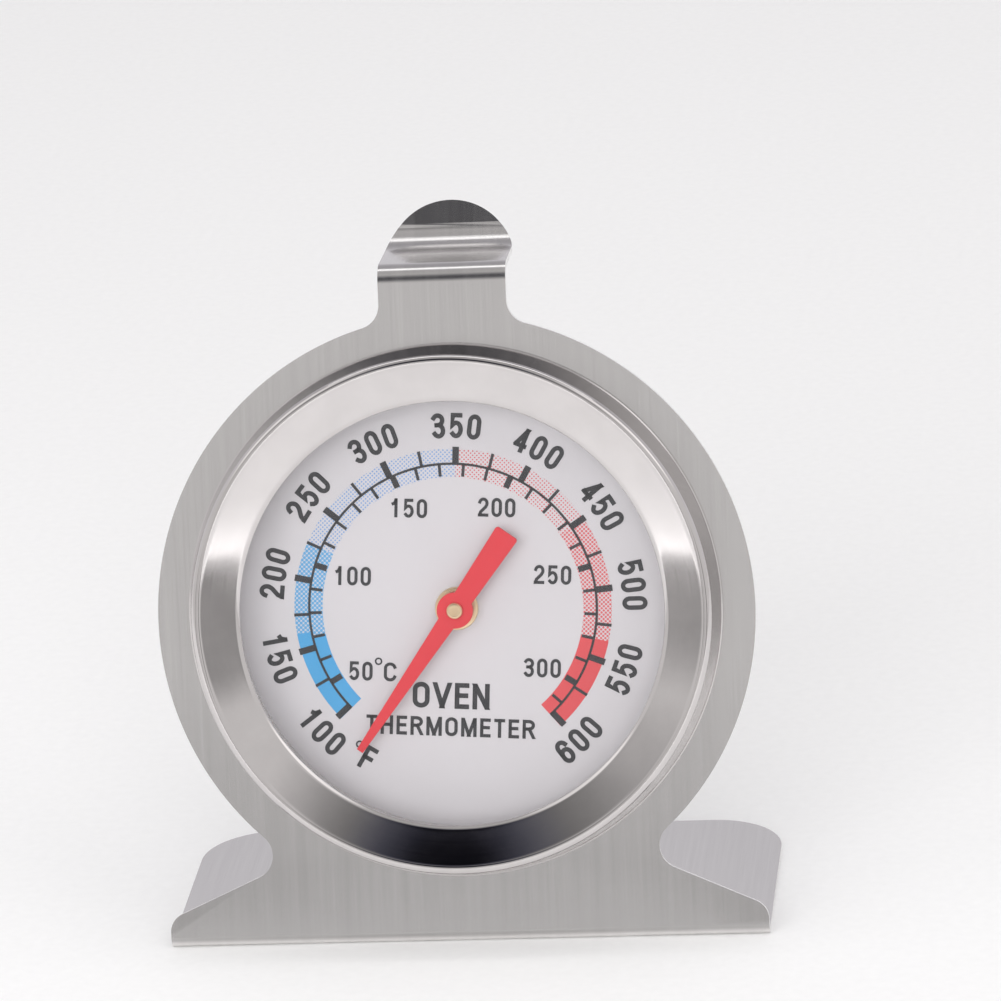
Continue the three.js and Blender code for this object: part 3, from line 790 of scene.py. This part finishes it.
def build_bush():
    """The dial's bush, with a chamfered collar in front and a riveted rim behind."""
    collar, neck, rim = 2.15, 1.5, 2.0
    rim_top = DIAL_BACK - GAP
    rim_bottom = rim_top - 0.45
    corners = [
        (BORE_RADIUS, COLLAR_TOP, 0.08),
        (collar, COLLAR_TOP, 0.14),
        (collar, DIAL_TOP + GAP, 0.05),
        (neck, DIAL_TOP + GAP, 0.0),
        (neck, rim_top, 0.0),
        (rim, rim_top, 0.08),
        (rim, rim_bottom, 0.15),
        (BORE_RADIUS, rim_bottom, 0.05),
    ]
    link_piece("centre_bush", turned(rounded(corners, 4), 96), BRASS, ["dial_bush"])


NEEDLE_BOTTOM = 0.15
NEEDLE_TOP = 0.5
NEEDLE = FACE @ Matrix.Rotation(NEEDLE_REST, 4, "Z")


def build_needle():
    """A thin painted needle: a tapering tip, a round eye and a tail that widens to a square end."""
    eye, reach, tail, tail_rounding = 1.8, 17.1, 9.4, 0.3
    tip_half, tip_root, tail_half, tail_root = 0.35, 0.9, 1.25, 1.0
    tip_angle, tail_angle = math.asin(tip_root / eye), math.pi - math.asin(tail_root / eye)
    loop = [(reach, -tip_half), (reach, tip_half)]
    loop += arc((0, 0), eye, tip_angle, tail_angle, 20)
    corner = (tail_rounding - tail, tail_half - tail_rounding)
    loop += arc(corner, tail_rounding, math.pi / 2, math.pi, 6)
    loop += arc((corner[0], -corner[1]), tail_rounding, math.pi, 1.5 * math.pi, 6)
    loop += arc((0, 0), eye, -tail_angle, -tip_angle, 20)
    hole = full_circle(STAFF_RADIUS + GAP, 48)
    mesh = stamped([loop, hole], NEEDLE_BOTTOM, NEEDLE_TOP, 0.06, 3)
    link_piece("painted_needle", mesh, NEEDLE_PAINT, ["pointer"], "needle", NEEDLE)


def build_staff():
    """The spindle, with its end riveted over the needle's eye."""
    end, base, head, dimple = -7.84, NEEDLE_TOP + GAP, 0.8, 0.5
    top = base + 0.45
    corners = [
        (0, end, 0.0),
        (STAFF_RADIUS, end, 0.1),
        (STAFF_RADIUS, base, 0.0),
        (head, base, 0.04),
        (head, top - 0.06, 0.16),
        (dimple + 0.05, top, 0.1),
        (dimple, top - 0.04, 0.04),
        (0, top - 0.04, 0.0),
    ]
    link_piece("spindle", turned(rounded(corners, 4), 96), BRASS, ["staff"], "needle", NEEDLE)


def build_hub():
    bore, outer, edge = STAFF_RADIUS + GAP, 1.2, 0.08
    low, high = COLLAR_TOP + 0.05, NEEDLE_BOTTOM - GAP
    corners = [(bore, low, 0.0), (outer, low, edge), (outer, high, edge), (bore, high, 0.0)]
    mesh = turned(rounded(corners, 3), 96)
    link_piece("needle_hub", mesh, BRASS, ["pointer_hub"], "needle", NEEDLE)


# ---------------------------------------------------------------- the print

PRINT = FACE @ shift(*PRINT_SHIFT) @ Matrix.Rotation(PRINT_TURN, 4, "Z")
PRINT_LOW = DIAL_TOP
BAND_TOP = DIAL_TOP + INK_THICKNESS
MARK_TOP = BAND_TOP + INK_THICKNESS
F_BAND_OUTER = 15.87
C_BAND_INNER = 13.04
BOLD_HALF_ANGLE = math.radians(1.28)


def angle_of(fahrenheit):
    share = (fahrenheit - SCALE_START_F) / (SCALE_END_F - SCALE_START_F)
    return SCALE_START_ANGLE - SCALE_SWEEP * share


def fahrenheit_of(celsius):
    return celsius * 9 / 5 + 32


def band(name, inner, outer, start_f, end_f, material):
    """A stretch of the coloured ring between two temperatures; the scale's ends take in half a bold mark."""
    start, end = angle_of(start_f), angle_of(end_f)
    if start_f == SCALE_START_F:
        start += BOLD_HALF_ANGLE
    if end_f == SCALE_END_F:
        end -= BOLD_HALF_ANGLE
    steps = max(4, int(math.degrees(start - end) / 2))
    mesh = ring_sector(inner, outer, end, start, PRINT_LOW, BAND_TOP, steps)
    link_piece(name, mesh, material, place=PRINT)


def build_bands():
    stretches = [
        ("blue_solid", SCALE_START_F, 162, 158, BLUE_SOLID),
        ("blue_dense", 162, 225, 225, BLUE_DENSE),
        ("blue_pale", 225, 350, 350, BLUE_PALE),
        ("red_pale", 350, 450, 450, RED_PALE),
        ("red_dense", 450, 536, 536, RED_DENSE),
        ("red_solid", 536, SCALE_END_F, SCALE_END_F, RED_SOLID),
    ]
    inner_start = SCALE_START_F
    for name, start, end, inner_end, material in stretches:
        band("outer_band_" + name, ARC_RADIUS, F_BAND_OUTER, start, end, material)
        band("inner_band_" + name, C_BAND_INNER, ARC_RADIUS, inner_start, inner_end, material)
        inner_start = inner_end


def mark(angle, inner, outer, width):
    """A radial tick."""
    half = width / 2
    loop = [(inner, -half), (outer, -half), (outer, half), (inner, half)]
    return moved(stamped([loop], PRINT_LOW, MARK_TOP), Matrix.Rotation(angle, 4, "Z"))


def build_marks():
    arc_half, bold_reach, fine_reach, celsius_reach = 0.12, 16.07, 15.92, 13.14
    start, end = angle_of(SCALE_START_F) + BOLD_HALF_ANGLE, angle_of(SCALE_END_F) - BOLD_HALF_ANGLE
    marks = [ring_sector(ARC_RADIUS - arc_half, ARC_RADIUS + arc_half, end, start, PRINT_LOW, MARK_TOP, 160)]
    for fahrenheit in range(SCALE_START_F, SCALE_END_F + 1, 25):
        outer, width = (bold_reach, 0.65) if fahrenheit % 50 == 0 else (fine_reach, 0.3)
        marks.append(mark(angle_of(fahrenheit), ARC_RADIUS, outer, width))
    for celsius in range(50, 311, 10):
        width = 0.6 if celsius % 50 == 0 else 0.3
        marks.append(mark(angle_of(fahrenheit_of(celsius)), celsius_reach, ARC_RADIUS, width))
    link_piece("scale_marks", joined(marks), INK, place=PRINT)


CAP = 0.26  # the height of a round character's end, as a share of the character's


def bowl(centre_y, height, start, end, steps=14):
    """Part of an ellipse as wide as the box, with its height given as half an axis; angles are in degrees."""
    turns = [math.radians(start + (end - start) * i / steps) for i in range(steps + 1)]
    return [(math.cos(t), centre_y + height * math.sin(t)) for t in turns]


def oval(low, high, height=CAP):
    """A closed loop with straight sides and round ends."""
    loop = bowl(high - height, height, 0, 180) + bowl(low + height, height, 180, 360)
    return loop + loop[:1]


# Strokes of each character in a box that is 2 wide, from -1 to 1, and 1 high, along the strokes' middles.
STROKES = {
    "0": [oval(0, 1)],
    "1": [[(0.4, 0), (0.4, 1)], [(-1, 0.76), (-0.3, 0.8), (0.2, 0.96)]],
    "2": [bowl(1 - CAP, CAP, 165, -25) + [(0.6, 0.5), (-0.7, 0.2), (-0.96, 0)], [(-1, 0), (1, 0)]],
    "3": [bowl(0.77, 0.23, 150, -90) + [(-0.3, 0.54)], [(-0.3, 0.54)] + bowl(0.27, 0.27, 90, -148)],
    "4": [[(0.45, 0), (0.45, 1)], [(0.45, 1), (-1, 0.26)], [(-1, 0.24), (0.9, 0.24)]],
    "5": [[(0.85, 1), (-0.75, 1), (-0.88, 0.5)] + bowl(0.32, 0.32, 118, -138)],
    "6": [oval(0, 0.6), bowl(1 - CAP, CAP, 15, 180) + [(-1, 0.3)]],
    "C": [bowl(1 - CAP, CAP, 15, 180) + bowl(CAP, CAP, 180, 345)],
    "E": [[(1, 1), (-1, 1), (-1, 0), (1, 0)], [(-1, 0.52), (0.8, 0.52)]],
    "F": [[(1, 1), (-1, 1), (-1, 0)], [(-1, 0.5), (0.8, 0.5)]],
    "H": [[(-1, 0), (-1, 1)], [(1, 0), (1, 1)], [(-1, 0.52), (1, 0.52)]],
    "M": [[(-1, 0), (-1, 1)], [(1, 0), (1, 1)], [(-0.9, 1), (0, 0)], [(0.9, 1), (0, 0)]],
    "N": [[(-1, 0), (-1, 1)], [(1, 0), (1, 1)], [(-0.9, 1), (0.9, 0)]],
    "O": [oval(0, 1)],
    "R": [[(-1, 0), (-1, 1)] + bowl(0.76, 0.24, 90, -90) + [(-1, 0.52)], [(0.1, 0.52), (1, 0)]],
    "T": [[(-1, 1), (1, 1)], [(0, 1), (0, 0)]],
    "V": [[(-1, 1), (0, 0)], [(1, 1), (0, 0)]],
}
NARROW = {"1": 0.7}


def end_corners(point, outward, half, cap, first):
    """The corners of a stroke's open end; one that runs out over the cap or base line is cut level."""
    level = abs(outward.y) > 0.3 and abs(abs(point.y) - cap) < half / 100
    reach = half / abs(outward.y) if level else half
    side = Vector((-outward.y, outward.x)) * half
    if level:
        side = Vector((-math.copysign(reach, outward.y), 0))
    end = point + outward * reach
    corners = ((end + side) * MM, (end - side) * MM)
    return corners[::-1] if first else corners


def ribbon(points, half, cap):
    """A flat strip of quads, with mitred corners, along a line of points in millimetres."""
    line = [Vector(point) for point in points]
    closed = line[0] == line[-1]
    ways = [(b - a).normalized() for a, b in zip(line, line[1:])]
    bm = bmesh.new()
    pairs = []
    for i, point in enumerate(line[:-1] if closed else line):
        before = ways[i - 1] if i > 0 or closed else ways[0]
        after = ways[i] if i < len(ways) else ways[-1]
        side = Vector((-before.y - after.y, before.x + after.x)).normalized()
        reach = side * half / max(0.45, side.dot(Vector((-after.y, after.x))))
        corners = ((point + reach) * MM, (point - reach) * MM)
        if not closed and i in (0, len(line) - 1):
            corners = end_corners(point, after * (1 if i else -1), half, cap, i == 0)
        pairs.append([bm.verts.new((*corner, MARK_TOP * MM)) for corner in corners])
    if closed:
        pairs.append(pairs[0])
    for (left, right), (next_left, next_right) in zip(pairs, pairs[1:]):
        bm.faces.new((left, right, next_right, next_left))
    return thickened(bm, MARK_TOP - PRINT_LOW)


def glyph(character, width, height, stroke):
    """One flat character centred on the origin, with its outer size and its stroke's width in millimetres."""
    width *= NARROW.get(character, 1)
    across, up = (width - stroke) / 2, height - stroke
    lines = [[(x * across, (y - 0.5) * up) for x, y in points] for points in STROKES[character]]
    return joined([ribbon(line, stroke / 2, up / 2) for line in lines])


def curved_number(text, centre_angle, radius, inverted, digit=(1.36, 2.52), pitch=1.8):
    """Digits set one by one round the dial, tops outwards, or inwards when inverted."""
    step = pitch / radius * (1 if inverted else -1)
    made = []
    for i, character in enumerate(text):
        angle = centre_angle + (i - (len(text) - 1) / 2) * step
        turn = math.pi / 2 if inverted else -math.pi / 2
        place = Matrix.Rotation(angle, 4, "Z") @ shift(radius, 0)
        made.append(moved(glyph(character, *digit, 0.45), place @ Matrix.Rotation(turn, 4, "Z")))
    return made


def straight_number(text, centre, digit=(1.04, 1.9), pitch=1.34):
    """Upright characters in a line."""
    made = []
    for i, character in enumerate(text):
        x = centre[0] + (i - (len(text) - 1) / 2) * pitch
        made.append(moved(glyph(character, *digit, 0.31), shift(x, centre[1])))
    return made


def degree_ring(centre, radius=0.3, stroke=0.16):
    loops = [full_circle(radius + stroke / 2, 32), full_circle(radius - stroke / 2, 32)]
    return moved(stamped(loops, PRINT_LOW, MARK_TOP), shift(*centre))


def build_numbers():
    made = []
    tops_inward = (100, 150, 550, 600)
    for fahrenheit in range(SCALE_START_F, SCALE_END_F + 1, 50):
        made += curved_number(str(fahrenheit), angle_of(fahrenheit), 18.18, fahrenheit in tops_inward)
    celsius_places = {
        "100": (-10.1, 2.85),
        "150": (-4.6, 9.8),
        "200": (4.2, 10.15),
        "250": (9.9, 3.6),
        "300": (9.05, -5.75),
    }
    for text, centre in celsius_places.items():
        made += straight_number(text, centre)
    made += straight_number("50", (-9.1, -6.65))
    made.append(degree_ring((-7.33, -5.62)))
    made += straight_number("C", (-6.15, -6.65), (1.26, 1.9))
    unit_angle = math.radians(-118.1)
    unit = [glyph("F", 1.25, 2.45, 0.44), degree_ring((-1.4, 0.8))]
    place = shift(-8.23, -15.39) @ Matrix.Rotation(unit_angle + math.pi / 2, 4, "Z")
    made += [moved(mesh, place) for mesh in unit]
    link_piece("scale_numbers", joined(made), INK, place=PRINT)


def spaced_word(word, centre_y, width, height, stroke, gap_share):
    """A word set letter by letter, each on its own share of the width."""
    shares = {"M": 1.25, "E": 0.85, "T": 0.88, "V": 1.08}
    total = sum(shares.get(letter, 1) for letter in word) + gap_share * (len(word) - 1)
    unit = width / total
    made = []
    x = -width / 2
    for letter in word:
        letter_width = shares.get(letter, 1) * unit
        middle = shift(x + letter_width / 2, centre_y)
        made.append(moved(glyph(letter, letter_width, height, stroke), middle))
        x += letter_width + gap_share * unit
    return made


def build_words():
    made = spaced_word("OVEN", -8.83, 7.7, 2.6, 0.47, 0.2)
    made += spaced_word("THERMOMETER", -11.95, 16.9, 1.9, 0.33, 0.28)
    link_piece("dial_words", joined(made), INK, place=PRINT)


# ---------------------------------------------------------------- the remaining CAD nodes


def finish_cad_nodes():
    """The hidden pieces keep their CAD shapes and get worked materials."""
    finishes = {
        "lens_gasket": GASKET,
        "coil_collet": BRASS,
        "rear_bearing": BRASS,
        "coil_anchor": INNER_STEEL,
        "coil_rivet": INNER_STEEL,
        "bridge": INNER_STEEL,
        "bridge_spacer_left": INNER_STEEL,
        "bridge_spacer_right": INNER_STEEL,
        "staff_clip": INNER_STEEL,
    }
    for node, material in finishes.items():
        obj = frame["nodes"][node]
        if not obj.material_slots:
            obj.data.materials.append(material)
        for material_slot in obj.material_slots:
            material_slot.material = material


# ---------------------------------------------------------------- camera, floor and light


def heading(azimuth, elevation):
    """The direction towards a place round the scene; azimuth is from the front towards +X."""
    flat = math.cos(elevation)
    return Vector((math.sin(azimuth) * flat, -math.cos(azimuth) * flat, math.sin(elevation)))


def build_camera():
    back = heading(CAMERA_AZIMUTH, CAMERA_ELEVATION)
    level = Vector((math.cos(CAMERA_AZIMUTH), math.sin(CAMERA_AZIMUTH), 0))
    upright = back.cross(level)
    right = level * math.cos(CAMERA_ROLL) + upright * math.sin(CAMERA_ROLL)
    up = back.cross(right)
    target = FACE.translation + (right * AIM_RIGHT + up * AIM_UP) * MM
    data = bpy.data.cameras.new("camera")
    data.lens = CAMERA_LENS
    data.sensor_width = 36
    data.clip_start = 0.01
    camera = linked("camera", data)
    turn = Matrix((right, up, back)).transposed().to_4x4()
    camera.matrix_world = Matrix.Translation(target + back * CAMERA_DISTANCE * MM) @ turn
    bpy.context.scene.camera = camera


def floor_material():
    material, tree, shader = blank_material("studio_floor")
    grain = spread(tree, noise(tree, object_place(tree), 900, 3), 0, 1)
    shades = blend_colors(tree, grain, (0.87, 0.868, 0.865), (0.9, 0.898, 0.895))
    tree.links.new(shades, shader.inputs["Base Color"])
    shader.inputs["Roughness"].default_value = 0.75
    return material


def build_floor():
    half = 3.0  # metres
    corners = [(-half, -half, 0), (half, -half, 0), (half, half, 0), (-half, half, 0)]
    mesh = bpy.data.meshes.new("studio_floor")
    mesh.from_pydata(corners, [], [(0, 1, 2, 3)])
    mesh.materials.append(floor_material())
    linked("studio_floor", mesh)


def area_light(name, place, size, power, seen_in_gloss=True):
    """A rectangular light that faces the dial; place and size are in metres."""
    data = bpy.data.lights.new(name, "AREA")
    data.shape = "RECTANGLE"
    data.size, data.size_y = size
    data.energy = power
    light = linked(name, data)
    light.location = place
    aim = FACE.translation - Vector(place)
    light.rotation_euler = aim.to_track_quat("-Z", "Y").to_euler()
    light.visible_glossy = seen_in_gloss


def direction_spot(tree, direction, azimuth, elevation, inner, outer):
    """1 near a direction, falling to 0 away from it; all angles are in degrees."""
    axis = heading(math.radians(azimuth), math.radians(elevation))
    facing = add(tree, "ShaderNodeVectorMath", {0: direction, 1: axis}, operation="DOT_PRODUCT")
    edges = [math.cos(math.radians(angle)) for angle in (outer, inner)]
    return spread(tree, facing.outputs["Value"], 0, 1, *edges)


# Patches of the studio as (azimuth, elevation, inner and outer angle, depth); below 0, a patch is brighter.
STUDIO_PATCHES = [
    (-7, 37, 5, 24, 0.99),
    (22.5, 6, 6, 10, 0.5),
    (-35, 4, 3, 10, 0.42),
    (-32, 27, 4, 14, 0.35),
    (58, 46, 12, 20, -1.1),
    (-64, 44, 12, 20, -0.7),
    (-12, 0, 1, 12, 0.26),
]


def build_world():
    """A grey studio: bright low down and behind, darker above, with a dark patch over the camera."""
    world = bpy.data.worlds.new("studio")
    bpy.context.scene.world = world
    world.use_nodes = True
    tree = world.node_tree
    direction = add(tree, "ShaderNodeTexCoord").outputs["Generated"]
    parts = add(tree, "ShaderNodeSeparateXYZ", {"Vector": direction}).outputs
    behind = spread(tree, parts["Y"], 0, 1, -0.2, 0.5)
    front_level = spread(tree, parts["Z"], 0.76, 0.5, 0.5, 0.95)
    back_level = spread(tree, parts["Z"], 0.8, 0.45, 0.2, 0.8)
    levels = {"Factor": behind, "A": front_level, "B": back_level}
    level = add(tree, "ShaderNodeMix", levels).outputs["Result"]
    for azimuth, elevation, inner, outer, depth in STUDIO_PATCHES:
        spot = direction_spot(tree, direction, azimuth, elevation, inner, outer)
        shade = calculated(tree, "MULTIPLY_ADD", spot, -depth, 1.0)
        level = calculated(tree, "MULTIPLY", level, shade)
    background = tree.nodes["Background"]
    room = blend_colors(tree, behind, (1.0, 0.985, 0.98), (0.975, 0.955, 1.0))
    shadow = spread(tree, level, 0, 1, 0.02, 0.22)
    tree.links.new(blend_colors(tree, shadow, (0.8, 0.83, 1.2), room), background.inputs["Color"])
    tree.links.new(level, background.inputs["Strength"])


def build_lights():
    area_light("top_strip", (0.0, 0.12, 0.9), (1.2, 0.16), 0.9)
    area_light("front_fill", (-0.1, -0.9, 0.35), (1.0, 0.6), 8.2, seen_in_gloss=False)
    sun = bpy.data.lights.new("floor_light", "SUN")
    sun.energy = 0.5
    sun.angle = math.radians(70)
    light = linked("floor_light", sun)
    light.rotation_euler = (math.radians(12), math.radians(8), 0)
    light.visible_glossy = False


# ---------------------------------------------------------------- the scene

bpy.context.scene.view_settings.view_transform = "Standard"
build_camera()
build_stand()
build_bezel()
build_lens()
build_dial()
build_spacer()
build_case()
build_clamp()
build_bridge_rivets()
build_coil()
build_bush()
build_needle()
build_staff()
build_hub()
build_bands()
build_marks()
build_numbers()
build_words()
finish_cad_nodes()
build_floor()
build_world()
build_lights()
